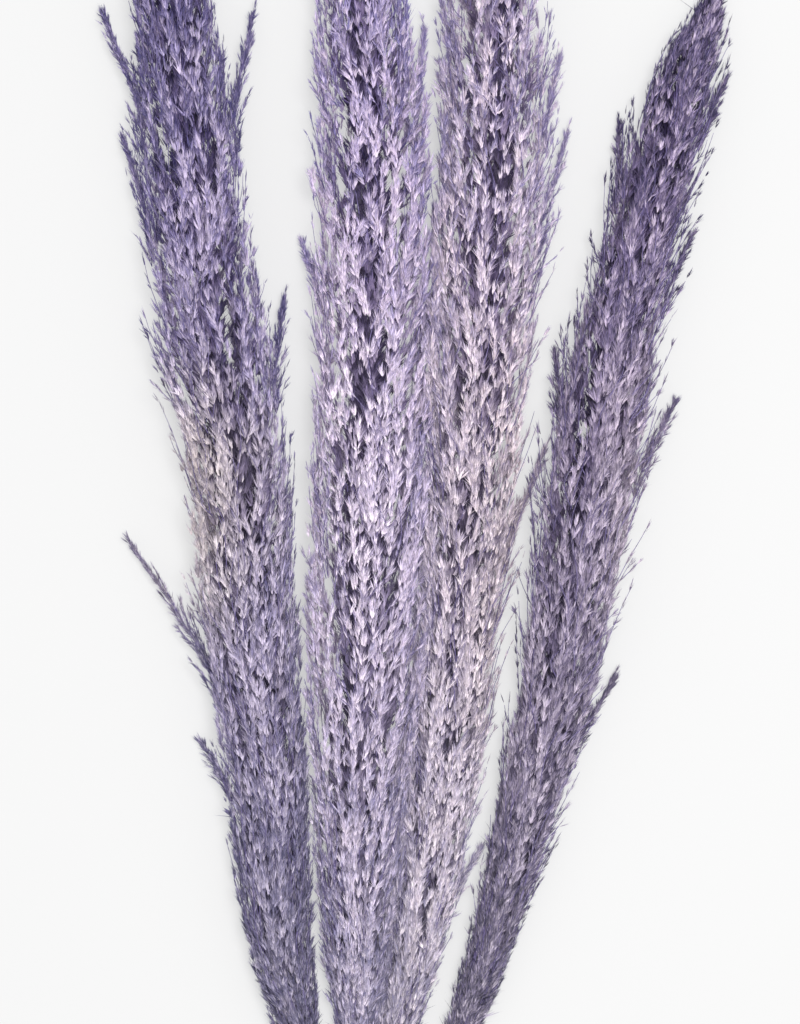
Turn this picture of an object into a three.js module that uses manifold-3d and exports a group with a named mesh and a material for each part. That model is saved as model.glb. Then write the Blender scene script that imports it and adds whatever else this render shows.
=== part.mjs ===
// A bundle of four dried, dyed pampas grass stalks, laid down on a surface.
// Millimetres, +Z up. The stems lie towards -Y and cross each other, the plumes fan out towards +Y.
// While it is built, Y = 0 is where the stems cross. At the end the whole group is moved so that
// its origin is the middle of its footprint, on the surface.

import * as THREE from 'three';
import { mergeVertices } from 'three/addons/utils/BufferGeometryUtils.js';
import Module from 'manifold-3d';

const wasm = await Module();
wasm.setup();

// ---------------------------------------------------------------- driving dimensions

const clearance = 0.4; // air left between two pieces that touch
const stemCutDiameter = 8.5; // at the cut end
const stemNeckDiameter = 5.5; // where the stem enters the plume
const stemGap = 4; // between two stems that lie side by side where all four cross
const stemLean = 0.12; // sideways run of a stem, per millimetre along it, where they cross
const plumeStart = 250; // from the crossing to the lowest branches of the plumes
const neckDepth = 45; // how far the stem runs up inside the plume
const lieFlat = 0.8; // height of a plume over its width, pressed down by its own weight
const jointSpacing = 135; // between the swollen joints of a stem
const jointSwell = 0.7; // how far a joint stands proud of the stem
const jointLength = 7;
const humpEnd = 0.7; // a stem that lies over others starts down to its plume at this share of plumeStart

// ---------------------------------------------------------------- the stalks

// byRow gives a smooth run through values that are evenly spaced from 0 to 1.
function byRow(values) {
  const curve = new THREE.SplineCurve(values.map((value, row) => new THREE.Vector2(row, value)));
  return (share) => curve.getPoint(THREE.MathUtils.clamp(share, 0, 1)).y;
}

// fullness: the plume's width over its widest, in even steps from its base to its tip.
// sway: how far the middle line of the centre plume lies off the crossing, in the same steps.
// beside, side and gap: the stalk that this one lies next to, on which side (+1 is +X), and the air
// between the two plumes in the same steps.
// layer and seat: 0 on the surface or 1 on top of the others, and the side of its layer, at the crossing.
// Each branch stands clear of the plume on its side: root and tip are measured up from the plume's
// base, and reach is how far the tip stands out from the plume's surface.
const stalks = [
  {
    name: 'centre',
    colour: '#8f86ab',
    plumeLength: 855,
    plumeWidth: 75,
    fullness: byRow([0.17, 0.54, 0.8, 0.98, 0.96, 0.98, 0.92, 0.62, 0]),
    sway: byRow([0, 0, 2, 6, 9, 11, 8, 0, -6]),
    layer: 0,
    seat: 1,
    tail: 120,
    branches: [
      { name: 'upper_right', side: 1, root: 510, tip: 708, reach: 14, width: 17 },
      { name: 'upper_left', side: -1, root: 480, tip: 570, reach: 9, width: 12 },
    ],
  },
  {
    name: 'left',
    colour: '#8c85a6',
    plumeLength: 855,
    plumeWidth: 73,
    fullness: byRow([0.18, 0.58, 0.71, 0.86, 0.96, 1, 0.82, 0.68, 0]),
    beside: 'centre',
    side: -1,
    gap: byRow([14, 6, 3, 6, 15, 35, 52, 72, 122]),
    layer: 0,
    seat: -1,
    tail: 104,
    branches: [
      { name: 'tip_left', side: -1, root: 550, tip: 720, reach: 20, width: 18 },
      { name: 'tip_right', side: 1, root: 550, tip: 718, reach: 22, width: 18 },
      { name: 'upper_left', side: -1, root: 470, tip: 638, reach: 14, width: 18 },
      { name: 'middle_right', side: 1, root: 390, tip: 530, reach: 13, width: 15 },
      { name: 'middle_left', side: -1, root: 220, tip: 370, reach: 42, width: 13 },
      { name: 'lower_left', side: -1, root: 175, tip: 240, reach: 14, width: 10 },
    ],
  },
  {
    name: 'centre_right',
    colour: '#948aac',
    plumeLength: 855,
    plumeWidth: 70,
    fullness: byRow([0.17, 0.52, 0.68, 0.74, 0.88, 1, 0.99, 0.76, 0]),
    beside: 'centre',
    side: 1,
    gap: byRow([8, 2, 2, 2, 3, 3, 16, 42, 98]),
    layer: 1,
    seat: -1,
    tail: 97,
    branches: [
      { name: 'tip_right', side: 1, root: 560, tip: 690, reach: 9, width: 15 },
      { name: 'upper_right', side: 1, root: 490, tip: 640, reach: 12, width: 15 },
      { name: 'middle_right', side: 1, root: 300, tip: 432, reach: 14, width: 14 },
      { name: 'lower_right', side: 1, root: 110, tip: 170, reach: 9, width: 9 },
    ],
  },
  {
    name: 'right',
    colour: '#6d6590',
    plumeLength: 755,
    plumeWidth: 64,
    fullness: byRow([0.17, 0.42, 0.63, 0.84, 1, 0.95, 0.78, 0.69, 0]),
    beside: 'centre_right',
    side: 1,
    gap: byRow([24, 17, 13, 14, 14, 20, 37, 62, 125]),
    layer: 1,
    seat: 1,
    tail: 112,
    branches: [
      { name: 'tip_right', side: 1, root: 580, tip: 676, reach: 8, width: 11 },
      { name: 'tip_left', side: -1, root: 530, tip: 647, reach: 10, width: 12 },
      { name: 'upper_right', side: 1, root: 470, tip: 572, reach: 9, width: 12 },
      { name: 'upper_left', side: -1, root: 400, tip: 497, reach: 9, width: 12 },
      { name: 'middle_right', side: 1, root: 350, tip: 465, reach: 17, width: 13 },
      { name: 'lower_right', side: 1, root: 180, tip: 283, reach: 11, width: 11 },
    ],
  },
];

function plumeHalfWidth(stalk, y) {
  return (stalk.plumeWidth / 2) * stalk.fullness((y - plumeStart) / stalk.plumeLength);
}

function stemRadius(stalk, y) {
  const share = (y + stalk.tail) / (plumeStart + neckDepth + stalk.tail);
  return THREE.MathUtils.lerp(stemCutDiameter, stemNeckDiameter, share) / 2;
}

// Where the middle line of a plume lies, across the bundle.
function plumeX(stalk, y) {
  const share = (y - plumeStart) / stalk.plumeLength;
  if (!stalk.beside) return stalk.sway(share);
  const neighbour = stalks.find((other) => other.name === stalk.beside);
  const apart = plumeHalfWidth(neighbour, y) + stalk.gap(share) + plumeHalfWidth(stalk, y);
  return plumeX(neighbour, y) + stalk.side * apart;
}

// Where a stem lies, across the bundle: straight through the crossing, then a smooth bend into the plume.
function stemX(stalk, y) {
  const slope = stalk.layer ? stemLean : -stemLean;
  const seat = (stalk.seat * (stemCutDiameter + stemGap)) / 2;
  if (y <= 0) return seat + slope * y;
  const step = 1;
  const neck = plumeX(stalk, plumeStart);
  const neckSlope = (plumeX(stalk, plumeStart + step) - neck) / step;
  const bend = new THREE.CubicBezierCurve(
    new THREE.Vector2(0, seat),
    new THREE.Vector2(plumeStart / 3, seat + (slope * plumeStart) / 3),
    new THREE.Vector2((plumeStart * 2) / 3, neck - (neckSlope * plumeStart) / 3),
    new THREE.Vector2(plumeStart, neck),
  );
  return bend.getPoint(y / plumeStart).y;
}

// The middle line of a whole stalk, from its cut end to its tip.
class StalkLine extends THREE.Curve {
  constructor(stalk) {
    super();
    this.stalk = stalk;
    this.start = -stalk.tail;
    this.end = plumeStart + stalk.plumeLength;
  }

  at(y) {
    const { stalk } = this;
    if (y >= plumeStart) {
      return new THREE.Vector3(plumeX(stalk, y), y, lieFlat * plumeHalfWidth(stalk, y));
    }
    const onStems = stalk.layer * (stemCutDiameter + 2 * jointSwell + clearance);
    const lying = stemRadius(stalk, y) + jointSwell + onStems;
    const neck = lieFlat * plumeHalfWidth(stalk, plumeStart);
    const climb = THREE.MathUtils.smoothstep(y, humpEnd * plumeStart, plumeStart);
    return new THREE.Vector3(stemX(stalk, y), y, THREE.MathUtils.lerp(lying, neck, climb));
  }

  getPoint(share) {
    return this.at(THREE.MathUtils.lerp(this.start, this.end, share));
  }

  // The share of the line at which it passes a given Y.
  shareAt(y) {
    return (y - this.start) / (this.end - this.start);
  }
}

// ---------------------------------------------------------------- solids

// A closed round body along a line. The profile is a list of [radius, share of the line], from the
// line's start to its end, and the body is as much flatter than it is wide as flat says.
function bodyAlong(line, profile, sides, flat = 1) {
  const outline = [[0, profile[0][1]], ...profile, [0, profile.at(-1)[1]]];
  const geometry = new THREE.LatheGeometry(outline.map(([r, share]) => new THREE.Vector2(r, share)), sides);
  const places = geometry.getAttribute('position');
  for (let i = 0; i < places.count; i += 1) {
    const share = places.getY(i);
    const centre = line.getPoint(share);
    const along = line.getTangent(share);
    const across = new THREE.Vector3().crossVectors(along, new THREE.Vector3(0, 0, 1)).normalize();
    const upward = new THREE.Vector3().crossVectors(across, along);
    centre.addScaledVector(across, places.getX(i));
    centre.addScaledVector(upward, places.getZ(i) * flat);
    places.setXYZ(i, centre.x, centre.y, centre.z);
  }
  return solidFrom(geometry);
}

function solidFrom(geometry) {
  geometry.deleteAttribute('normal');
  geometry.deleteAttribute('uv');
  const merged = mergeVertices(geometry, 1e-4);
  const corners = [];
  for (let i = 0; i < merged.index.count; i += 3) {
    const [a, b, c] = [0, 1, 2].map((k) => merged.index.getX(i + k));
    if (a !== b && b !== c && c !== a) corners.push(a, b, c);
  }
  const mesh = new wasm.Mesh({
    numProp: 3,
    vertProperties: new Float32Array(merged.getAttribute('position').array),
    triVerts: new Uint32Array(corners),
  });
  return new wasm.Manifold(mesh);
}

// The largest piece that is left of a body when others are cut away from it.
function cutBack(body, others) {
  const left = others.reduce((rest, other) => rest.subtract(other), body);
  return left.decompose().reduce((best, piece) => (piece.volume() > best.volume() ? piece : best));
}

function meshFrom(name, solid, colour, roughness) {
  const found = solid.getMesh();
  const geometry = new THREE.BufferGeometry();
  geometry.setAttribute('position', new THREE.BufferAttribute(new Float32Array(found.vertProperties), 3));
  geometry.setIndex(new THREE.BufferAttribute(new Uint32Array(found.triVerts), 1));
  geometry.computeVertexNormals();
  const mesh = new THREE.Mesh(geometry, new THREE.MeshStandardMaterial({ color: colour, roughness, metalness: 0 }));
  mesh.name = name;
  return mesh;
}

// Evenly spaced steps from one value to another, both ends included.
function steps(from, to, count) {
  return Array.from({ length: count + 1 }, (_, i) => THREE.MathUtils.lerp(from, to, i / count));
}

// ---------------------------------------------------------------- stem: a solid grass culm with swollen joints

const stemSides = 10;

function stemSolid(stalk, line, grown = 0) {
  const top = plumeStart + neckDepth + grown;
  const joints = [];
  for (let y = jointSpacing - stalk.tail; y < plumeStart - jointSpacing / 2; y += jointSpacing) joints.push(y);
  const stations = [...steps(-stalk.tail, top, 12), ...joints.flatMap((y) => [y - jointLength, y, y + jointLength])];
  const profile = stations
    .sort((a, b) => a - b)
    .map((y) => [stemRadius(stalk, y) + (joints.includes(y) ? jointSwell : 0) + grown, line.shareAt(y)]);
  return bodyAlong(line, profile, stemSides);
}

// ---------------------------------------------------------------- plume: the soft seed head round the top of the stem

const plumeSides = 16;
const plumeSteps = 26;
const tipLength = 12; // the last stretch, where the plume runs out to a point

function plumeSolid(stalk, line, grown = 0) {
  const last = plumeStart + stalk.plumeLength - tipLength;
  const stations = steps(plumeStart - grown, last, plumeSteps);
  const profile = stations.map((y) => [plumeHalfWidth(stalk, y) + grown, line.shareAt(y)]);
  return bodyAlong(line, [...profile, [grown, 1]].filter(([radius]) => radius > 0), plumeSides, lieFlat);
}

// ---------------------------------------------------------------- branch: a side branch that stands clear of the plume

const branchSides = 7;
const branchSteps = 8;
const branchFullness = byRow([0.7, 0.95, 1, 0.85, 0.6, 0.35, 0.12]);

function branchSolid(stalk, branch, line) {
  const surfaceX = (y) => plumeX(stalk, y) + branch.side * plumeHalfWidth(stalk, y);
  const rootY = plumeStart + branch.root;
  const tipY = plumeStart + branch.tip;
  const bendY = THREE.MathUtils.lerp(rootY, tipY, 0.5);
  const root = line.at(rootY);
  const tip = new THREE.Vector3(surfaceX(tipY) + branch.side * branch.reach, tipY, branch.width / 2);
  const bend = new THREE.Vector3(surfaceX(bendY) - branch.side * (branch.width / 3), bendY, root.z * 0.8);
  const route = new THREE.QuadraticBezierCurve3(root, bend, tip);
  const profile = steps(0, 1, branchSteps).map((share) => [(branch.width / 2) * branchFullness(share), share]);
  return bodyAlong(route, profile, branchSides);
}

// ---------------------------------------------------------------- the bundle

const bundle = new THREE.Group();
const lines = new Map(stalks.map((stalk) => [stalk.name, new StalkLine(stalk)]));
const plumeRooms = stalks.map((stalk) => plumeSolid(stalk, lines.get(stalk.name), clearance));
const branchesSoFar = [];

for (const stalk of stalks) {
  const line = lines.get(stalk.name);
  const stem = stemSolid(stalk, line);
  const plume = cutBack(plumeSolid(stalk, line), [stemSolid(stalk, line, clearance)]);
  bundle.add(meshFrom(`${stalk.name}_stem`, stem, '#b9a482', 0.6));
  bundle.add(meshFrom(`${stalk.name}_plume`, plume, stalk.colour, 0.95));
  for (const branch of stalk.branches) {
    const solid = cutBack(branchSolid(stalk, branch, line), [...plumeRooms, ...branchesSoFar]);
    branchesSoFar.push(solid);
    bundle.add(meshFrom(`${stalk.name}_branch_${branch.name}`, solid, stalk.colour, 0.95));
  }
}

const box = new THREE.Box3().setFromObject(bundle, true);
const middle = box.getCenter(new THREE.Vector3());
bundle.position.set(-middle.x, -middle.y, -box.min.z);

export default bundle;
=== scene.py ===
"""Dried and dyed pampas grass: four stalks laid down as one bundle."""
import math

import bmesh
import bpy
import numpy as np
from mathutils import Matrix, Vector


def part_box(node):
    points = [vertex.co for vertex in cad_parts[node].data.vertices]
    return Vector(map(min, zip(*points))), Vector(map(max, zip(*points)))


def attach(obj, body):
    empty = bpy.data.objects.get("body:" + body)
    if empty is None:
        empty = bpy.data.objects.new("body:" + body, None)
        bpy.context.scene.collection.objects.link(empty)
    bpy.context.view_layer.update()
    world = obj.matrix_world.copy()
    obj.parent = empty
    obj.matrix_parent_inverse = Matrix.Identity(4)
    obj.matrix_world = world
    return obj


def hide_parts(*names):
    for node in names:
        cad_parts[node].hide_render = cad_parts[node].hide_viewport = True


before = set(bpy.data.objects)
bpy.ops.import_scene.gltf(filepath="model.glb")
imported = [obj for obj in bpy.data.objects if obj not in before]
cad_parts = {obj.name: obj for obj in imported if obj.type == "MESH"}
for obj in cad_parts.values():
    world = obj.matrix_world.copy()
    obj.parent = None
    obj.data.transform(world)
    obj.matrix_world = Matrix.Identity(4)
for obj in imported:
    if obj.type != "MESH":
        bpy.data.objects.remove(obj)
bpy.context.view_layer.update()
bpy.ops.object.select_all(action="DESELECT")


# ------------------------------------------------------------------ stems
# A pampas stem is one solid grass culm, full of pith, with a swollen joint every hand's width.
# It dries to a satin straw, and the dye that the plumes were dipped in has run down it in streaks.

STALKS = ("left", "centre", "centre_right", "right")
MM = 0.001
STEM_SIDES = 24
STEM_SLICES = 110
STEM_WALL = 0.22  # of the radius, round the pith that shows at the cut end
PITH_DEPTH = 1.5 * MM


def slices(node, count):
    """The middle line and the half sizes of a frame solid, cut across at even steps along Y."""
    low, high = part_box(node)
    margin = 0.4 * MM
    rows = []
    for y in np.linspace(low.y + margin, high.y - margin, count):
        mesh = bmesh.new()
        mesh.from_mesh(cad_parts[node].data)
        parts = mesh.verts[:] + mesh.edges[:] + mesh.faces[:]
        cut = bmesh.ops.bisect_plane(mesh, geom=parts, plane_co=(0, y, 0), plane_no=(0, 1, 0))
        at = np.array([item.co for item in cut["geom_cut"] if isinstance(item, bmesh.types.BMVert)])
        mesh.free()
        small, large = at.min(0), at.max(0)
        rows.append((y, *(small + large)[[0, 2]] / 2, *(large - small)[[0, 2]] / 2))
    return np.array(rows).T


def linear(hex_colour):
    """A linear RGBA colour from an sRGB hex value."""
    parts = [int(hex_colour[i : i + 2], 16) / 255 for i in (1, 3, 5)]
    return [p / 12.92 if p <= 0.04045 else ((p + 0.055) / 1.055) ** 2.4 for p in parts] + [1.0]


def add(material, kind, links=None, stops=(), **settings):
    """Adds a node: the sockets that feed it, its (place, hex colour) stops and its settings."""
    node = material.node_tree.nodes.new(kind)
    while stops and len(node.color_ramp.elements) < len(stops):
        node.color_ramp.elements.new(0.5)
    for number, (position, colour) in enumerate(stops):
        node.color_ramp.elements[number].position = position
        node.color_ramp.elements[number].color = linear(colour)
    for name, value in settings.items():
        if name[0].isupper():
            node.inputs[name.replace("_", " ")].default_value = value
        else:
            setattr(node, name, value)
    for socket, source in (links or {}).items():
        material.node_tree.links.new(source, node.inputs[socket])
    return node


def new_material(name, **settings):
    """A material with its one shader set to constant values."""
    material = bpy.data.materials.new(name)
    material.use_nodes = True
    shader = material.node_tree.nodes["Principled BSDF"]
    for socket, value in settings.items():
        shader.inputs[socket.replace("_", " ")].default_value = value
    return material, shader


def dried_culm():
    """Dried grass culm: satin straw with fine fibres along it, stained by dye that ran down it.

    The fibres, 0.4 mm apart, give the eye its grain, and the stains break up its one colour.
    """
    material, shader = new_material("dried_culm", Roughness=0.5, IOR=1.5)
    link = material.node_tree.links.new
    place = add(material, "ShaderNodeTexCoord").outputs["Object"]
    fibre_place = add(material, "ShaderNodeMapping", {"Vector": place}, Scale=(2500, 40, 2500))
    fibres = add(
        material, "ShaderNodeTexNoise", {"Vector": fibre_place.outputs[0]}, Scale=1.0, Detail=3.0
    ).outputs["Fac"]
    stain_place = add(material, "ShaderNodeMapping", {"Vector": place}, Scale=(260, 14, 260))
    stain = add(material, "ShaderNodeTexNoise", {"Vector": stain_place.outputs[0]}, Scale=1.0, Detail=4.0)
    straw = add(
        material, "ShaderNodeValToRGB", {"Fac": fibres},
        stops=[(0.3, "#8F7A5B"), (0.5, "#B9A37E"), (0.72, "#D3C2A0")],
    ).outputs["Color"]
    dye = add(
        material, "ShaderNodeValToRGB", {"Fac": fibres}, stops=[(0.3, "#5C5076"), (0.7, "#9184A8")]
    ).outputs["Color"]
    stained = add(
        material, "ShaderNodeMapRange", {"Value": stain.outputs["Fac"]}, From_Min=0.42, From_Max=0.68
    ).outputs["Result"]
    mix = add(material, "ShaderNodeMix", {"Factor": stained, 6: straw, 7: dye}, data_type="RGBA")
    link(mix.outputs[2], shader.inputs["Base Color"])
    bump = add(material, "ShaderNodeBump", {"Height": fibres}, Strength=0.35, Distance=0.1 * MM)
    link(bump.outputs["Normal"], shader.inputs["Normal"])
    return material


culm = dried_culm()


def stem(stalk):
    """One culm: a cylinder along Y, cut across often, each ring moved on to the stem's middle line."""
    node = f"{stalk}_stem"
    ys, xs, zs, half_widths, half_heights = slices(node, STEM_SLICES)
    low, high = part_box(node)
    bpy.ops.mesh.primitive_cylinder_add(
        vertices=STEM_SIDES, radius=1, depth=1, end_fill_type="NGON", rotation=(math.pi / 2, 0, 0)
    )
    made = bpy.context.object
    made.name = made.data.name = f"{stalk}_culm"
    bpy.ops.object.transform_apply(location=False)
    mesh = bmesh.new()
    mesh.from_mesh(made.data)
    long_edges = [e for e in mesh.edges if abs(e.verts[0].co.y - e.verts[1].co.y) > 0.5]
    bmesh.ops.subdivide_edges(mesh, edges=long_edges, cuts=STEM_SLICES)
    cut_end = [f for f in mesh.faces if f.normal.y < -0.9]
    bmesh.ops.inset_region(mesh, faces=cut_end, thickness=STEM_WALL)
    bmesh.ops.translate(mesh, verts=cut_end[0].verts, vec=(0, PITH_DEPTH, 0))
    bmesh.ops.recalc_face_normals(mesh, faces=mesh.faces)
    for vertex in mesh.verts:
        y = low.y + (vertex.co.y + 0.5) * (high.y - low.y)
        radius = (np.interp(y, ys, half_widths) + np.interp(y, ys, half_heights)) / 2
        vertex.co.x = np.interp(y, ys, xs) + vertex.co.x * radius
        vertex.co.z = np.interp(y, ys, zs) + vertex.co.z * radius
        vertex.co.y = y
    mesh.to_mesh(made.data)
    mesh.free()
    made.select_set(True)
    bpy.ops.object.shade_smooth_by_angle(angle=math.radians(40))
    made.data.materials.append(culm)
    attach(made, "root")
    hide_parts(node)
    bpy.ops.object.select_all(action="DESELECT")


for stalk in STALKS:
    stem(stalk)


# ------------------------------------------------------------------ spikelets
# A spikelet is one papery husk, folded down its middle and drawn out to a point, with finer husks and
# silky hairs round it. Most are 5 to 10 mm long. Thousands of them hide the twigs that they grow on.

SPIKELET_LENGTH = 8.0 * MM
HUSK_WIDTH = 0.14  # over its length
HUSK_FOLD = 0.04
HAIR_WIDTHS = (0.1, 0.085, 0.065, 0.045, 0.03, 0.022)
SPIKELET_SHAPES = 40
HUSK_LEAN = 0.1  # radians, the most that a husk leans aside from its spikelet
HAIR_LEAN = 0.5  # the same for the finest hair; a wider one leans less
BROAD_HUSKS = 0.004  # the share of spikelets with husks that have opened out


def spikelet_shape(rng):
    """Corners of one spikelet: (across, along, out, share to the tip, shade), in its own lengths."""
    corners = []

    def blade(points, most):
        lean, turn, shade = rng.uniform(-most, most), rng.uniform(-1.2, 1.2), rng.normal(0, 0.14)
        for across, along, out in points:
            x = across * math.cos(turn) + out * math.sin(turn)
            z = out * math.cos(turn) - across * math.sin(turn)
            tint = shade + 1.6 * across
            corners.append((x + along * math.sin(lean), along * math.cos(lean), z, along, tint))

    half = HUSK_WIDTH / 2
    blade([(0, 0, 0), (half, 0.38, -HUSK_FOLD), (0, 1, 0), (-half, 0.38, -HUSK_FOLD)], HUSK_LEAN)
    for width in HAIR_WIDTHS:
        length = rng.uniform(0.7, 1) * (1.45 - 5 * width)
        blade([(-width / 2, 0.1, 0), (width / 2, 0.14, 0), (0, length, 0)], HAIR_LEAN - 2.5 * width)
    return corners


SPIKELET_FACES = np.array([(0, 1, 2), (0, 2, 3)] + [(k, k + 1, k + 2) for k in range(4, 22, 3)])
UV_ACROSS = np.array([0.5, 0.8, 0.5, 0.2] + [0.3, 0.7, 0.5] * len(HAIR_WIDTHS))
shape_rng = np.random.default_rng(3)
spikelet_shapes = np.array([spikelet_shape(shape_rng) for _ in range(SPIKELET_SHAPES)])


def unit(vectors):
    """Vectors, each made one long."""
    return vectors / np.maximum(np.linalg.norm(vectors, axis=-1, keepdims=True), 1e-12)


def place_spikelets(rng, places, directions, outward, lengths, broad):
    """Corners of one spikelet at each place, pointing along its direction, broad side mostly outwards."""
    count = len(places)
    shapes = spikelet_shapes[rng.integers(0, SPIKELET_SHAPES, count)]
    breadth = np.where(rng.random(count) < BROAD_HUSKS, 2.6, rng.uniform(0.6, 1.35, count))
    breadth = (broad * breadth)[:, None, None]
    roll = rng.normal(0, 0.7, count)
    side = unit(np.cross(directions, outward))
    facing = np.cross(side, directions)
    across = side * np.cos(roll)[:, None] + facing * np.sin(roll)[:, None]
    out = np.cross(across, directions)
    corners = (
        breadth * shapes[:, :, 0:1] * across[:, None]
        + shapes[:, :, 1:2] * directions[:, None]
        + breadth * shapes[:, :, 2:3] * out[:, None]
    )
    return places[:, None] + corners * lengths[:, None, None], shapes[:, :, 3], shapes[:, :, 4]


# ------------------------------------------------------------------ twigs with spikelets
# The side branches of a plume are thin wiry twigs. Spikelets grow on them in small tufts from end
# to end, all pointing up the twig and a little outwards.

TWIG_STEPS = 12
TWIG_RADIUS = 0.35 * MM
TUFT_LENGTH = 1.2 * MM  # along the twig, the spread of the feet in one tuft


class Twigs:
    """Many twigs at once: each is a run of points, with the radius of the tufts' feet round it."""

    def __init__(self, points, radii, weights=1.0):
        self.points, self.radii = points, radii
        self.lengths = np.linalg.norm(np.diff(points, axis=1), axis=2).sum(1)
        self.shares = self.lengths * weights / (self.lengths * weights).sum()

    def at(self, which, share):
        """Points, directions and tuft radii, a share of the way along some of the twigs."""
        step = np.clip(share, 0, 1) * (self.points.shape[1] - 1)
        low = np.minimum(step.astype(int), self.points.shape[1] - 2)
        part = (step - low)[:, None]
        start, end = self.points[which, low], self.points[which, low + 1]
        radius = self.radii[which, low] * (1 - part[:, 0]) + self.radii[which, low + 1] * part[:, 0]
        return start + (end - start) * part, unit(end - start), radius


class Tufts:
    """Spikelets on twigs, in small tufts: their corners, tip shares, tones and places."""

    def __init__(self, rng, twigs, count, axis_at, tuft=3, splay=0.2, size=1.0, broad=1.0):
        def jitter(amount):
            return rng.normal(0, amount, count)

        first = rng.choice(len(twigs.points), -(-count // tuft), p=twigs.shares)
        which = np.repeat(first, tuft)[:count]
        share, around, lean, tone = (
            np.repeat(numbers, tuft)[:count]
            for numbers in (
                rng.random(len(first)), rng.uniform(0, 2 * math.pi, len(first)),
                rng.normal(splay, 0.12, len(first)), rng.normal(0, 0.09, len(first)),
            )
        )
        middle, along, radius = twigs.at(which, share + jitter(TUFT_LENGTH) / twigs.lengths[which])
        around, lean = around + jitter(0.5), np.clip(lean + jitter(0.1), -0.2, 1.2)[:, None]
        side = unit(np.cross(along, [0.3, 0.1, 1.0]))
        off = side * np.cos(around)[:, None] + np.cross(along, side) * np.sin(around)[:, None]
        self.places = middle + off * (radius * rng.random(count) ** 0.6)[:, None]
        outward = unit(self.places - axis_at(middle))
        stray = rng.normal(0, 0.07, (count, 3))
        directions = unit(along * np.cos(lean) + unit(off + 0.5 * outward) * np.sin(lean) + stray)
        lengths = size * SPIKELET_LENGTH * rng.uniform(0.6, 1.25, count)
        self.corners, self.tips, shades = place_spikelets(
            rng, self.places, directions, outward, lengths, broad
        )
        floor_height = MM * rng.uniform(0.1, 1.2, count)[:, None]
        self.corners[:, :, 2] = np.maximum(self.corners[:, :, 2], floor_height)
        twig_tone = rng.normal(0, 0.09, len(twigs.points))[which]
        self.tone = (0.5 + twig_tone + tone + jitter(0.12))[:, None] + shades


def spikelet_mesh(name, corners, tips, tone, depth, material):
    """One mesh of many spikelets, with the values its material reads and a map with a cell for each."""
    count, per = corners.shape[:2]
    faces = (SPIKELET_FACES[None] + per * np.arange(count)[:, None, None]).reshape(-1, 3)
    data = bpy.data.meshes.new(name)
    data.vertices.add(count * per)
    data.vertices.foreach_set("co", corners.reshape(-1).astype(np.float32))
    data.loops.add(faces.size)
    data.loops.foreach_set("vertex_index", faces.reshape(-1).astype(np.int32))
    data.polygons.add(len(faces))
    data.polygons.foreach_set("loop_start", np.arange(0, faces.size, 3, dtype=np.int32))
    data.update(calc_edges=True)
    values = {"tip": tips.reshape(-1), "tone": tone.reshape(-1), "depth": np.repeat(depth, per)}
    for label, numbers in values.items():
        data.attributes.new(label, "FLOAT", "POINT").data.foreach_set("value", numbers.astype(np.float32))
    grid = math.ceil(math.sqrt(count))
    cell = np.repeat(np.arange(count), per)
    u = (cell % grid + np.tile(UV_ACROSS, count)) / grid
    v = (cell // grid + 0.15 + 0.7 * np.clip(values["tip"], 0, 1)) / grid
    layer = data.uv_layers.new(name="OFBake")
    layer.uv.foreach_set("vector", np.stack([u, v], 1)[faces.reshape(-1)].reshape(-1).astype(np.float32))
    data.materials.append(material)
    made = bpy.data.objects.new(name, data)
    bpy.context.scene.collection.objects.link(made)
    return made


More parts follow.
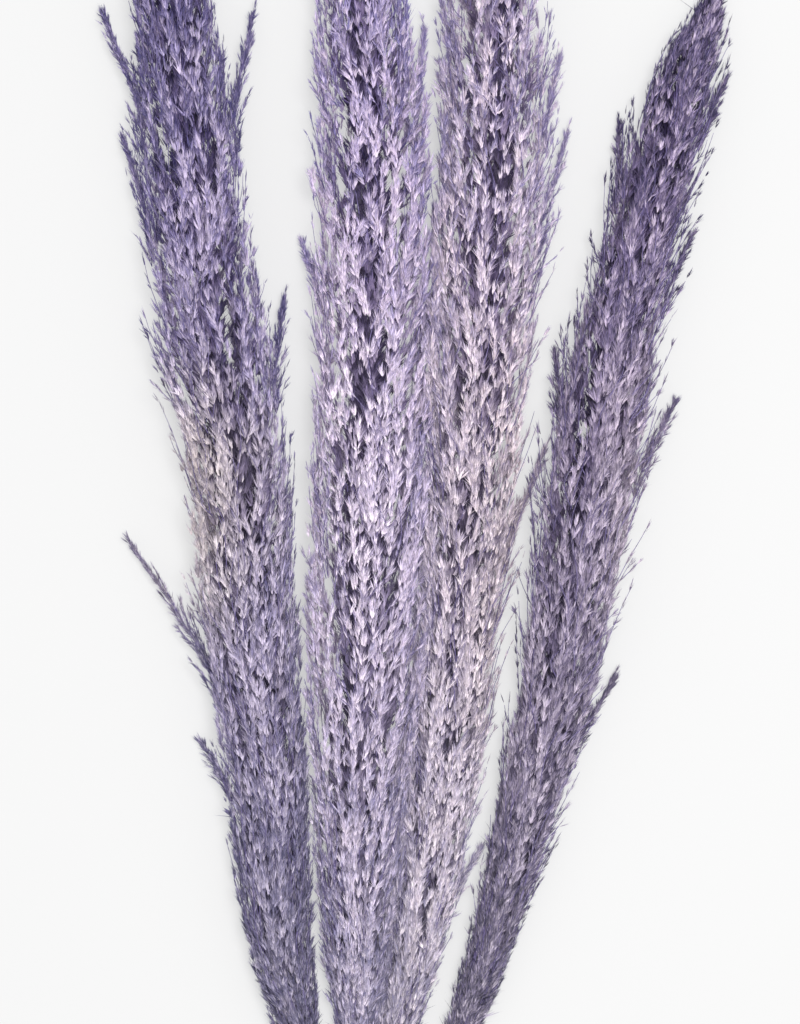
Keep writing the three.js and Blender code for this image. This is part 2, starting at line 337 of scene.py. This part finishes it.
def dyed_husk(name, dark, middle, light, tip, undyed_at, undyed_size, undyed):
    """Papery husks, dyed: matt with a silky sheen, palest on the body and deepest at the point.

    The dye takes less well in one stretch of the plume, where the husk's own straw shows through. Husks deep
    inside the plume are darkened with painted shade.
    """
    material, shader = new_material(name, Roughness=0.7, IOR=1.45, Sheen_Weight=0.2, Sheen_Roughness=0.4)
    tone = add(material, "ShaderNodeAttribute", attribute_name="tone").outputs["Fac"]
    along = add(material, "ShaderNodeAttribute", attribute_name="tip").outputs["Fac"]
    depth = add(material, "ShaderNodeAttribute", attribute_name="depth").outputs["Fac"]
    place = add(material, "ShaderNodeTexCoord").outputs["Object"]

    # Each husk has its own tone, and patches of some 36 mm took up more or less dye.
    patches = add(material, "ShaderNodeTexNoise", {"Vector": place}, Scale=28.0, Detail=3.0).outputs["Fac"]
    patchy = add(material, "ShaderNodeMath", {0: patches, 2: tone}, operation="MULTIPLY_ADD")
    patchy.inputs[1].default_value = 0.6
    body = add(
        material, "ShaderNodeValToRGB", {"Fac": patchy.outputs[0]},
        stops=[(0.38, dark), (0.8, middle), (1.0, light)],
    ).outputs["Color"]

    # One long stretch is nearly bare of dye, with a ragged edge.
    offset = add(
        material, "ShaderNodeMapping", {"Vector": place},
        vector_type="TEXTURE", Location=undyed_at, Scale=undyed_size,
    ).outputs[0]
    away = add(material, "ShaderNodeVectorMath", {"Vector": offset}, operation="LENGTH").outputs["Value"]
    ragged = add(material, "ShaderNodeMath", {0: away, 1: patches}, operation="ADD").outputs[0]
    bare = add(
        material, "ShaderNodeMapRange", {"Value": ragged}, From_Min=1.75, From_Max=0.9
    ).outputs["Result"]
    straw = add(
        material, "ShaderNodeValToRGB", {"Fac": tone}, stops=[(0.1, undyed[0]), (0.8, undyed[1])]
    ).outputs["Color"]
    with_straw = add(
        material, "ShaderNodeMix", {"Factor": bare, 6: body, 7: straw}, data_type="RGBA"
    ).outputs[2]

    # The thin points soaked up the most dye, so each husk ends in violet.
    to_tip = add(
        material, "ShaderNodeMapRange", {"Value": along}, From_Min=0.45, From_Max=1.15, To_Max=0.6
    ).outputs["Result"]
    tipped = add(material, "ShaderNodeMix", {"Factor": to_tip, 6: with_straw}, data_type="RGBA")
    tipped.inputs[7].default_value = linear(tip)

    # Painted shade: husks deep inside the plume are darkened, the deeper the darker, so that the gaps
    # between the outer husks read dark.
    shade = add(
        material, "ShaderNodeValToRGB", {"Fac": depth},
        stops=[(0.16, "#FFFFFF"), (0.4, "#A69FB8"), (0.65, "#6C6580")],
    ).outputs["Color"]
    painted_shade = add(
        material, "ShaderNodeMix", {6: tipped.outputs[2], 7: shade}, data_type="RGBA", blend_type="MULTIPLY"
    )
    painted_shade.inputs["Factor"].default_value = 1.0

    # The colour is greyer low down and clearer towards the tips of the plumes.
    up_plume = add(material, "ShaderNodeSeparateXYZ", {"Vector": place}).outputs["Y"]
    strength = add(
        material, "ShaderNodeMapRange", {"Value": up_plume},
        From_Min=-0.25, From_Max=0.35, To_Min=0.7, To_Max=1.1,
    ).outputs["Result"]

    # Veins 0.7 mm apart run along the husks, and keep the broad ones from looking smooth.
    stretched = add(material, "ShaderNodeMapping", {"Vector": place}, Scale=(1400, 130, 1400)).outputs[0]
    fibres = add(material, "ShaderNodeTexNoise", {"Vector": stretched}, Scale=1.0, Detail=2.0)
    veins = add(
        material, "ShaderNodeMapRange", {"Value": fibres.outputs["Fac"]},
        From_Min=0.3, From_Max=0.7, To_Min=0.68, To_Max=1.32,
    ).outputs["Result"]
    dyed = add(
        material, "ShaderNodeHueSaturation",
        {"Color": painted_shade.outputs[2], "Saturation": strength, "Value": veins},
    ).outputs["Color"]
    material.node_tree.links.new(dyed, shader.inputs["Base Color"])
    return material


# ------------------------------------------------------------------ plumes
# A plume is a spray of twigs on the upper part of the stalk, which thins out up the middle. The twigs
# leave it at a sharp angle and overlap like thatch. Finer, barer ones stand off it all round, and make
# its outline ragged and soft.

# how far out the twigs of each layer reach, as shares of the frame solid's half sizes
OUTER_LAYER = (0.86, 1.03)
INNER_LAYER = (0.5, 0.82)
CORE_LAYER = (0.1, 0.35)
TWIG_LENGTHS = (0.06, 0.2)  # of the plume's length
PLUME_TWIGS = 440
PLUME_SPIKELETS = 31000
INNER_TWIGS = 170
INNER_SPIKELETS = 8500
CORE_TWIGS = 60
CORE_SPIKELETS = 3000
RACHIS_RADIUS = 2.2 * MM
RACHIS_SIDES = 8
STRAY_TWIGS = 450
STRAY_SPIKELETS = 7000
STRAY_LENGTHS = (16, 75)  # mm
STRAY_REACH = (2, 13)  # mm beyond the frame solid
CROSSING = 6.5 * MM  # how far twigs may grow past the outline into a neighbour that they lie against
# how much of that crossing the twigs do, on the left and the right side of each plume
CROSSES = {"left": (0, 0), "centre": (0, 1), "centre_right": (1, 0), "right": (0, 0)}
# how far the fine twigs stand off, on the left and the right side, where plumes were laid together
COMBED = {"left": (1, 0.45), "centre": (0.45, 0.8), "centre_right": (0.8, 1), "right": (1, 1)}
RIM_SHADE = 0.16  # how much darker the two sides of a plume are made: painted shade where the light grazes them
# how full each plume is: what the outer layer's reach is multiplied by
FULLNESS = {"left": 0.97, "centre": 1.0, "centre_right": 0.96, "right": 0.88}
GOLDEN_ANGLE = 2.39996  # radians from one twig to the next
STRAY_DEPTH = 0.22  # how much deeper the dye is in the fine twigs' spikelets
CROWDING = 0.17  # how much closer the twigs stand on the broad upper and under sides


class Spine:
    """Middle line and half sizes of a frame solid, as functions of Y."""

    def __init__(self, node, count):
        self.ys, self.xs, self.zs, self.half_widths, self.half_heights = slices(node, count)
        low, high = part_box(node)
        self.start, self.length = low.y, high.y - low.y

    def at(self, y, angle, reach, beyond=0):
        """Points at places along Y, out at an angle by a share of the half sizes, and then beyond."""
        out_x = reach * np.interp(y, self.ys, self.half_widths) + beyond
        out_z = reach * np.interp(y, self.ys, self.half_heights) + 0.3 * beyond
        x = np.interp(y, self.ys, self.xs) + out_x * np.cos(angle)
        z = np.interp(y, self.ys, self.zs) + out_z * np.sin(angle)
        return np.stack([x, y, z], -1)

    def axis(self, places):
        """The points of the middle line level with some places."""
        return self.at(places[:, 1], 0, 0)

    def share_out(self, places):
        """How far out places lie, as shares of the half sizes: sideways, and in all."""
        from_axis = places - self.axis(places)
        sideways = from_axis[:, 0] / np.maximum(np.interp(places[:, 1], self.ys, self.half_widths), MM)
        upward = from_axis[:, 2] / np.maximum(np.interp(places[:, 1], self.ys, self.half_heights), MM)
        return np.clip(np.abs(sideways), 0, 1), np.hypot(sideways, upward)


def plume_twigs(rng, spine, count, layer, fullness=1.0, crosses=(0, 0)):
    """The thick twigs of a plume, spread evenly up it and all the way round, closest where it is broad.

    Where it lies against a neighbour, on its left or right side, the twigs cross over.
    """
    nearest, furthest = fullness * layer[0], fullness * layer[1]
    start = (np.arange(count) + rng.uniform(0, 1, count)) / count
    length = rng.uniform(*TWIG_LENGTHS, count) * (1 - 0.5 * start)
    start = start * (1.03 - length) - 0.03
    angle = np.arange(count) * GOLDEN_ANGLE + rng.normal(0, 0.3, count)
    angle += CROWDING * np.sin(2 * angle)
    root = rng.uniform(0.5, 0.8, count) * nearest
    reach = rng.uniform(nearest, furthest, count)
    share = np.linspace(0, 1, TWIG_STEPS)[None]
    y = spine.start + spine.length * (start[:, None] + length[:, None] * share)
    out = root[:, None] + (reach - root)[:, None] * (1 - (1 - share) ** 2)
    turn = angle[:, None] + 0.12 * np.sin(5 * share + rng.uniform(0, 2 * math.pi, (count, 1)))
    thickness = MM * rng.uniform(1.5, 3.2, count)[:, None] * (1 - 0.75 * share**1.5)
    left, right = crosses
    sideways = np.cos(turn)
    crossing = np.where(sideways > 0, right, left) * np.abs(sideways)
    weights = rng.uniform(0.6, 1.4, count) * (1 + 1.5 * crossing.mean(1))
    return Twigs(spine.at(y, turn, out, CROSSING * crossing * share), thickness, weights)


def stray_twigs(rng, spine, combed):
    """The fine twigs that stand off a plume, by less on a side that was combed down: (left, right)."""
    count = STRAY_TWIGS
    length = MM * rng.uniform(*STRAY_LENGTHS, count) / spine.length
    start = rng.uniform(0, 1, count) * (1 - length)
    angle = rng.uniform(0, 2 * math.pi, count)
    fullness = np.interp(spine.start + spine.length * start, spine.ys, spine.half_widths)
    left, right = combed
    side = np.where(np.cos(angle) > 0, right, left)
    beyond = MM * rng.uniform(*STRAY_REACH, count) * fullness / spine.half_widths.max() * side
    share = np.linspace(0, 1, TWIG_STEPS)[None]
    y = spine.start + spine.length * (start[:, None] + length[:, None] * share)
    turn = angle[:, None] + 0.15 * np.sin(4 * share + rng.uniform(0, 2 * math.pi, (count, 1)))
    points = spine.at(y, turn, 0.8 + 0.18 * share, beyond[:, None] * share**0.9)
    points[:, :, 2] = np.maximum(points[:, :, 2], MM)
    return Twigs(points, MM * (0.9 - 0.6 * share) * np.ones((count, 1)))


def twig_mesh(name, twigs, material, thickness, sides=3):
    """Thin tapering tubes along the twigs, in one mesh."""
    points = twigs.points[:, ::2]
    count, steps = points.shape[:2]
    along = unit(np.gradient(points, axis=1))
    side = unit(np.cross(along, [0.3, 0.1, 1.0]))
    other = np.cross(along, side)
    radius = thickness * np.linspace(1, 0.5, steps)[None, :, None]
    ring = [
        points + radius * (side * math.cos(turn) + other * math.sin(turn))
        for turn in np.arange(sides) * 2 * math.pi / sides
    ]
    corners = np.stack(ring, 2).reshape(-1, 3)
    corners[:, 2] = np.maximum(corners[:, 2], 0.1 * MM)
    first = sides * (np.arange(count)[:, None] * steps + np.arange(steps - 1)[None]).reshape(-1)
    quads = [(k, (k + 1) % sides, sides + (k + 1) % sides, sides + k) for k in range(sides)]
    faces = (first[:, None, None] + np.array(quads)[None]).reshape(-1, 4)
    data = bpy.data.meshes.new(name)
    data.from_pydata(corners.tolist(), [], faces.tolist())
    data.materials.append(material)
    made = bpy.data.objects.new(name, data)
    bpy.context.scene.collection.objects.link(made)
    return made


def dyed_twig():
    """Wiry dyed twigs: satin, deep violet, with paler fibres 3 mm long so that they don't look flat."""
    material, shader = new_material("dyed_twig", Roughness=0.55, IOR=1.5)
    place = add(material, "ShaderNodeTexCoord").outputs["Object"]
    stretched = add(material, "ShaderNodeMapping", {"Vector": place}, Scale=(900, 330, 900))
    fibres = add(material, "ShaderNodeTexNoise", {"Vector": stretched.outputs[0]}, Scale=1.0, Detail=2.0)
    colour = add(
        material, "ShaderNodeValToRGB", {"Fac": fibres.outputs["Fac"]},
        stops=[(0.3, "#4E4470"), (0.5, "#73679A"), (0.75, "#A79DC0")],
    )
    material.node_tree.links.new(colour.outputs["Color"], shader.inputs["Base Color"])
    return material


husks = {
    "left": dyed_husk(
        "dyed_husk_left", dark="#47436A", middle="#9C92B8", light="#CDC1D8", tip="#564B8E",
        undyed_at=(-0.145, 0.16, 0.03), undyed_size=(0.05, 0.09, 0.1), undyed=("#9A8E98", "#E6DBDC"),
    ),
    "centre": dyed_husk(
        "dyed_husk_centre", dark="#7E78A2", middle="#D6C8E2", light="#DFD1E3", tip="#685AA6",
        undyed_at=(-0.04, 0.2, 0.03), undyed_size=(0.035, 0.15, 0.1), undyed=("#A498BC", "#F3E6F3"),
    ),
    "centre_right": dyed_husk(
        "dyed_husk_centre_right", dark="#8A82A5", middle="#DDD0E1", light="#E5D8E2", tip="#6C5FA0",
        undyed_at=(0.065, 0.12, 0.03), undyed_size=(0.04, 0.17, 0.1), undyed=("#A596A4", "#EDDFE4"),
    ),
    "right": dyed_husk(
        "dyed_husk_right", dark="#3C3754", middle="#998BAD", light="#CABCD0", tip="#453B78",
        undyed_at=(0.145, 0.13, 0.03), undyed_size=(0.03, 0.12, 0.1), undyed=("#7E728C", "#D8CAD8"),
    ),
}
wiry = dyed_twig()


def belong(piece, node):
    """The piece stands for a frame solid of a stalk's plume."""
    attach(piece, "root")
    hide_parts(node)


def paler_in_the_middle(spine, places):
    """The dye is deepest at the foot and the top of a plume, and palest a third of the way up."""
    share = (places[:, 1] - spine.start) / spine.length
    return np.interp(share, (0, 0.12, 0.35, 0.6, 0.8, 1), (-0.12, -0.05, 0.18, 0.17, 0.0, -0.14))


for seed, stalk in enumerate(STALKS):
    rng = np.random.default_rng(100 + seed)
    spine = Spine(f"{stalk}_plume", 60)
    strays = stray_twigs(rng, spine, COMBED[stalk])
    outer = plume_twigs(rng, spine, PLUME_TWIGS, OUTER_LAYER, FULLNESS[stalk], CROSSES[stalk])
    inner = plume_twigs(rng, spine, INNER_TWIGS, INNER_LAYER, crosses=CROSSES[stalk])
    core = plume_twigs(rng, spine, CORE_TWIGS, CORE_LAYER)
    groups = (
        Tufts(rng, outer, PLUME_SPIKELETS, spine.axis),
        Tufts(rng, inner, INNER_SPIKELETS, spine.axis, size=1.2, broad=1.35),
        Tufts(rng, core, CORE_SPIKELETS, spine.axis, size=1.6, broad=2.2),
        Tufts(rng, strays, STRAY_SPIKELETS, spine.axis, tuft=2, splay=0.16, size=0.75, broad=0.8),
    )
    corners, tips, tone, places = (
        np.concatenate([getattr(group, what) for group in groups])
        for what in ("corners", "tips", "tone", "places")
    )
    tone[-STRAY_SPIKELETS:] -= STRAY_DEPTH
    tone = np.clip(tone + paler_in_the_middle(spine, places)[:, None], 0, 1)
    sideways, out = spine.share_out(places)
    # How deep each spikelet lies in the plume, which the husks' material turns into painted shade.
    depth = np.clip(1 - out, 0, 1)
    # Painted shade: spikelets down the two sides of the plume are darkened.
    tone = np.clip(tone - RIM_SHADE * (sideways**2)[:, None], 0, 1)
    middle = np.median(places[:, 1])
    for part, chosen in (("lower", places[:, 1] <= middle), ("upper", places[:, 1] > middle)):
        made = spikelet_mesh(
            f"{stalk}_spray_{part}", corners[chosen], tips[chosen], tone[chosen], depth[chosen], husks[stalk]
        )
        belong(made, f"{stalk}_plume")
    belong(twig_mesh(f"{stalk}_twigs", strays, wiry, TWIG_RADIUS), f"{stalk}_plume")
    up_stalk = spine.start + spine.length * np.linspace(0.01, 0.97, 4 * TWIG_STEPS)
    rachis = Twigs(spine.at(up_stalk, 0, 0)[None], np.zeros((1, len(up_stalk))))
    belong(twig_mesh(f"{stalk}_rachis", rachis, wiry, RACHIS_RADIUS, RACHIS_SIDES), f"{stalk}_plume")


# ------------------------------------------------------------------ loose branches
# Some side branches stand clear of a plume. Each is a long twig with shorter ones off it, much more
# thinly set with spikelets than the plume is, and drawn out to a fine tip.

SPIKELETS_PER_METRE = 1450
SIDE_TWIGS = 18
BRANCH_DEPTH = 0.3  # how much deeper the dye is in a loose branch than in a plume


def branch_twigs(rng, spine):
    """The twigs of one loose branch: one along its middle line, and shorter ones that leave it."""
    steps = np.linspace(0, 1, TWIG_STEPS)
    line = spine.at(spine.start + spine.length * np.linspace(0, 0.94, TWIG_STEPS), 0, 0)
    foot = line[0] - 0.2 * (line[6] - line[0])
    tip = line[-1] + 0.14 * (line[-1] - line[-5])
    rough = np.concatenate([[foot], line, [tip]])
    main = np.stack([np.interp(steps, np.linspace(0, 1, len(rough)), rough[:, k]) for k in range(3)], 1)
    width = spine.half_widths.max()
    points, radii = [main], [MM * (1.4 - 1.2 * steps)]
    for start in np.linspace(0.0, 0.8, SIDE_TWIGS):
        share = start + rng.uniform(0.18, 0.36) * steps
        side_twig = np.stack([np.interp(share, steps, main[:, k]) for k in range(3)], 1)
        side_twig += np.maximum(share - 1, 0)[:, None] * (main[-1] - main[0])
        drift = steps[:, None] ** 1.1 * (1.1 - 1.25 * start)
        sideways = rng.choice((-1, 1)) * rng.uniform(0.6, 2.0) * width
        points.append(side_twig + drift * np.array([sideways, 0, rng.uniform(-0.3, 0.5) * width]))
        radii.append(MM * (0.8 - 0.6 * steps))
    weights = np.array([2.5] + [1.0] * SIDE_TWIGS)
    return Twigs(np.array(points), np.array(radii), weights)


for seed, node in enumerate(sorted(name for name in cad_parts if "_branch_" in name)):
    stalk = node.split("_branch_")[0]
    rng = np.random.default_rng(300 + seed)
    spine = Spine(node, 20)
    twigs = branch_twigs(rng, spine)
    count = int(SPIKELETS_PER_METRE * twigs.lengths.sum())
    tufts = Tufts(rng, twigs, count, spine.axis, tuft=2, splay=0.2, size=0.75, broad=0.7)
    tone = np.clip(tufts.tone - BRANCH_DEPTH, 0, 1)
    made = spikelet_mesh(f"{node}_spray", tufts.corners, tufts.tips, tone, np.zeros(count), husks[stalk])
    belong(made, node)
    belong(twig_mesh(f"{node}_twigs", twigs, wiry, TWIG_RADIUS), node)


# ------------------------------------------------------------------ floor, light and camera
# A plain pale floor, broad soft light from almost straight above, and a camera that looks straight down.

FLOOR_SIZE = 14.0
FLOOR_GLOW = 0.47  # white paper lit from below, which keeps the shadows next to the plumes faint
ROOM_LIGHT = 0.71
SOFTBOX_PLACE = (0.35, 0.3, 2.6)
SOFTBOX_SIZE = 1.2
SOFTBOX_POWER = 62


def floor():
    """A sheet of white paper, glowing a little, under the whole bundle."""
    bpy.ops.mesh.primitive_plane_add(size=FLOOR_SIZE, location=(0, 0, 0))
    made = bpy.context.object
    made.name = "floor"
    material, shader = new_material("white_paper", Roughness=0.9)
    shader.inputs["Base Color"].default_value = linear("#969696")
    shader.inputs["Emission Color"].default_value = linear("#FFFFFF")
    shader.inputs["Emission Strength"].default_value = FLOOR_GLOW
    made.data.materials.append(material)
    bpy.ops.object.select_all(action="DESELECT")


floor()

view = bpy.context.scene.view_settings
view.view_transform = "Standard"
world = bpy.data.worlds.new("soft_room")
bpy.context.scene.world = world
world.use_nodes = True
world.node_tree.nodes["Background"].inputs["Color"].default_value = linear("#FFFFFF")
world.node_tree.nodes["Background"].inputs["Strength"].default_value = ROOM_LIGHT


def softbox(name, place, size, power):
    """A square area light that faces the middle of the bundle."""
    lamp = bpy.data.lights.new(name, "AREA")
    lamp.size = size
    lamp.energy = power
    made = bpy.data.objects.new(name, lamp)
    made.location = place
    direction = -made.location.normalized()
    made.rotation_euler = direction.to_track_quat("-Z", "Y").to_euler()
    bpy.context.scene.collection.objects.link(made)


softbox("softbox", SOFTBOX_PLACE, SOFTBOX_SIZE, SOFTBOX_POWER)

VIEW_HEIGHT = 0.666  # metres of the bundle that the camera takes in, along Y
LENS = 117.0
SENSOR = 36.0
PLUME_TOP = 0.03  # the height that VIEW_HEIGHT is measured at
VIEW_LEFT = 18 * MM  # of the centre plume's right edge
VIEW_UP = 0.465  # of the centre plume's length, from its foot
plume_low, plume_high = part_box("centre_plume")
camera = bpy.data.objects.new("camera", bpy.data.cameras.new("camera"))
camera.data.lens = LENS
camera.data.sensor_width = SENSOR
distance = VIEW_HEIGHT * LENS / SENSOR
camera.location = (
    plume_high.x - VIEW_LEFT,
    plume_low.y + VIEW_UP * (plume_high.y - plume_low.y),
    distance + PLUME_TOP,
)
bpy.context.scene.collection.objects.link(camera)
bpy.context.scene.camera = camera
